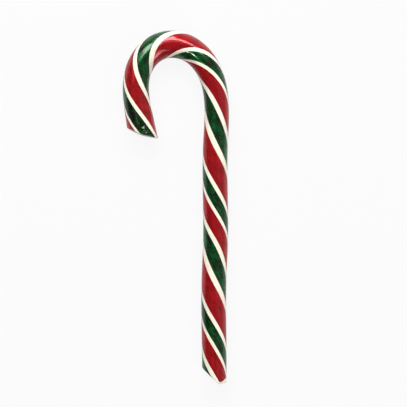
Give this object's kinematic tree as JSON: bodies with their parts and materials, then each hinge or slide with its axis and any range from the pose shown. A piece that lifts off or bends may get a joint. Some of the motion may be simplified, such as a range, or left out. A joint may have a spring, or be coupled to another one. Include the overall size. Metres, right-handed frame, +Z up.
{
  "type": "candy cane",
  "caption": "Striped candy cane: one round stick of boiled sugar with a hooked top and slanting cut ends, lying on its side.",
  "frame": {"origin": "centre of the cane's outline in plan, on the surface it lies on", "axes": "+Y along the shaft from the foot to the hook, the hook opens towards the foot on the -X side, +Z up, away from the surface it lies on"},
  "size_m": [0.046, 0.1525, 0.0124],
  "materials": {
    "candy": "glossy boiled sugar with twisted stripes of deep red and dark green, parted by narrow cream white stripes"
  },
  "bodies": {
    "root": {"cane": "candy"}
  },
  "joints": []
}
